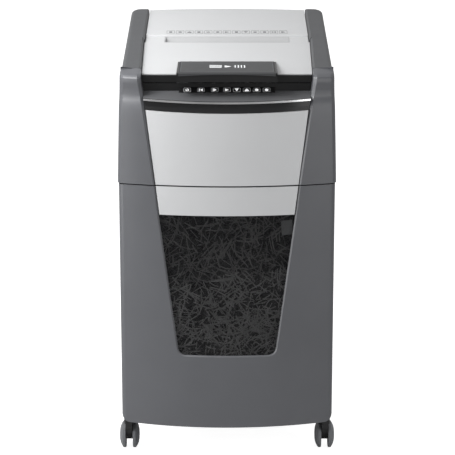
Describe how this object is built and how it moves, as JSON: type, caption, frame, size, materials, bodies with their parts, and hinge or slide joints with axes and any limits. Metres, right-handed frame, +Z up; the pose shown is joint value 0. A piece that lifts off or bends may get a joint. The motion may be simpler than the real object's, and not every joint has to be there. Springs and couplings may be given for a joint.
{
  "type": "paper shredder",
  "caption": "Free-standing office paper shredder with lift-up lid, automatic feed tray, manual slot, window bin that pulls out, and swivel casters.",
  "frame": {"origin": "on the floor under the middle of the machine", "axes": "+Z up, the front with the controls and the bin faces -Y, +X to the right seen from the front"},
  "size_m": [0.398, 0.45, 0.7825],
  "materials": {
    "body_plastic": "fine satin texture",
    "silver_plastic": "silver painted plastic",
    "black_gloss": "piano gloss",
    "tab_plastic": "satin",
    "dark_plastic": "moulded",
    "chrome_trim": "bright plated",
    "smoked_window": "smoked clear plastic",
    "steel": "ground",
    "zinc_steel": "zinc plated sheet",
    "bronze": "sintered",
    "gear_nylon": "moulded nylon",
    "roller_rubber": "ribbed",
    "wheel_plastic": "moulded",
    "board_green": "lacquered board"
  },
  "bodies": {
    "chassis": {"cabinet_shell": "body_plastic", "cabinet_base": "dark_plastic", "cabinet_deck": "dark_plastic", "head_housing": "body_plastic", "front_fascia": "silver_plastic", "front_ledge": "tab_plastic", "ledge_trim": "chrome_trim", "black_trim": "black_gloss", "control_belt": "black_gloss", "control_panel": "black_gloss", "control_board": "board_green", "paper_tray": "dark_plastic", "cutter_side_plates": "zinc_steel", "tie_rods": "steel", "shaft_bushes": "bronze", "cutter_combs": "dark_plastic", "motor": "zinc_steel", "power_board": "board_green", "mains_inlet": "dark_plastic", "lid_hinge_brackets": "zinc_steel", "chassis_screws": "steel"},
    "lid": {"lid_front_panel": "silver_plastic", "lid_rear_panel": "silver_plastic", "slot_insert": "silver_plastic", "lid_arm_left": "body_plastic", "lid_arm_right": "body_plastic", "lid_skirt": "black_gloss", "lid_tab": "tab_plastic", "lid_liner": "dark_plastic", "plate_springs": "steel"},
    "pressure_plate": {"pressure_plate": "dark_plastic"},
    "bin": {"bin_front": "body_plastic", "bin_strip": "silver_plastic", "bin_window": "smoked_window", "bin_tub": "dark_plastic"},
    "rocker": {"power_rocker": "black_gloss"},
    "rear_cutter": {"cutter_rear": "steel", "rear_cutter_gears": "steel"},
    "front_cutter": {"cutter_front": "steel", "front_cutter_gears": "steel"},
    "reduction": {"reduction_gear": "gear_nylon"},
    "motor_rotor": {"motor_pinion": "steel"},
    "front_roller": {"feed_shaft_front": "steel", "feed_gear_front": "gear_nylon", "feed_tyres_front": "roller_rubber"},
    "rear_roller": {"feed_shaft_rear": "steel", "feed_gear_rear": "gear_nylon", "feed_tyres_rear": "roller_rubber"},
    "swivel_rear_left": {"caster_hood_rear_left": "dark_plastic"},
    "wheel_rear_left": {"caster_wheels_rear_left": "wheel_plastic", "caster_axle_rear_left": "steel"},
    "swivel_front_left": {"caster_hood_front_left": "dark_plastic"},
    "wheel_front_left": {"caster_wheels_front_left": "wheel_plastic", "caster_axle_front_left": "steel"},
    "swivel_rear_right": {"caster_hood_rear_right": "dark_plastic"},
    "wheel_rear_right": {"caster_wheels_rear_right": "wheel_plastic", "caster_axle_rear_right": "steel"},
    "swivel_front_right": {"caster_hood_front_right": "dark_plastic"},
    "wheel_front_right": {"caster_wheels_front_right": "wheel_plastic", "caster_axle_front_right": "steel"}
  },
  "joints": [
    {"name": "lid_hinge", "type": "hinge", "parent": "chassis", "child": "lid", "pos_m": [0, 0.219, 0.706], "axis": [-1, 0, 0], "range_deg": [0, 75]},
    {"name": "pressure_plate_slide", "type": "slide", "parent": "lid", "child": "pressure_plate", "axis": [0, 0, 1], "range_m": [0, 0.018], "stiffness_N_per_m": 60, "springref_m": -0.02, "deforming": ["plate_springs"]},
    {"name": "bin_slide", "type": "slide", "parent": "chassis", "child": "bin", "axis": [0, -1, 0], "range_m": [0, 0.4]},
    {"name": "power_switch", "type": "hinge", "parent": "chassis", "child": "rocker", "pos_m": [-0.112, 0.206, 0.56], "axis": [1, 0, 0], "range_deg": [0, 16]},
    {"name": "rear_cutter_spin", "type": "hinge", "parent": "chassis", "child": "rear_cutter", "pos_m": [0, 0.045, 0.62], "axis": [1, 0, 0], "continuous": true},
    {"name": "front_cutter_spin", "type": "hinge", "parent": "chassis", "child": "front_cutter", "pos_m": [0, 0.007, 0.62], "axis": [1, 0, 0], "continuous": true},
    {"name": "reduction_spin", "type": "hinge", "parent": "chassis", "child": "reduction", "pos_m": [0, 0.09, 0.6033], "axis": [1, 0, 0], "continuous": true},
    {"name": "motor_spin", "type": "hinge", "parent": "chassis", "child": "motor_rotor", "pos_m": [0, 0.128, 0.58541], "axis": [1, 0, 0], "continuous": true},
    {"name": "front_roller_spin", "type": "hinge", "parent": "chassis", "child": "front_roller", "pos_m": [0, -0.001, 0.65533], "axis": [1, 0, 0], "continuous": true},
    {"name": "rear_roller_spin", "type": "hinge", "parent": "chassis", "child": "rear_roller", "pos_m": [0, 0.053, 0.65533], "axis": [1, 0, 0], "continuous": true},
    {"name": "swivel_rear_left_turn", "type": "hinge", "parent": "chassis", "child": "swivel_rear_left", "pos_m": [-0.181, 0.176, 0.06], "axis": [0, 0, 1], "continuous": true},
    {"name": "wheel_rear_left_spin", "type": "hinge", "parent": "swivel_rear_left", "child": "wheel_rear_left", "pos_m": [-0.181, 0.194, 0.025], "axis": [1, 0, 0], "continuous": true},
    {"name": "swivel_front_left_turn", "type": "hinge", "parent": "chassis", "child": "swivel_front_left", "pos_m": [-0.181, -0.161, 0.06], "axis": [0, 0, 1], "continuous": true},
    {"name": "wheel_front_left_spin", "type": "hinge", "parent": "swivel_front_left", "child": "wheel_front_left", "pos_m": [-0.181, -0.143, 0.025], "axis": [1, 0, 0], "continuous": true},
    {"name": "swivel_rear_right_turn", "type": "hinge", "parent": "chassis", "child": "swivel_rear_right", "pos_m": [0.181, 0.176, 0.06], "axis": [0, 0, 1], "continuous": true},
    {"name": "wheel_rear_right_spin", "type": "hinge", "parent": "swivel_rear_right", "child": "wheel_rear_right", "pos_m": [0.181, 0.194, 0.025], "axis": [1, 0, 0], "continuous": true},
    {"name": "swivel_front_right_turn", "type": "hinge", "parent": "chassis", "child": "swivel_front_right", "pos_m": [0.181, -0.161, 0.06], "axis": [0, 0, 1], "continuous": true},
    {"name": "wheel_front_right_spin", "type": "hinge", "parent": "swivel_front_right", "child": "wheel_front_right", "pos_m": [0.181, -0.143, 0.025], "axis": [1, 0, 0], "continuous": true}
  ],
  "couplings": [
    {"joint": "front_cutter_spin", "follows": "rear_cutter_spin", "ratio": -1},
    {"joint": "reduction_spin", "follows": "rear_cutter_spin", "ratio": -3},
    {"joint": "motor_spin", "follows": "rear_cutter_spin", "ratio": 11},
    {"joint": "front_roller_spin", "follows": "rear_cutter_spin", "ratio": -1.0714},
    {"joint": "rear_roller_spin", "follows": "rear_cutter_spin", "ratio": 1.0714}
  ]
}
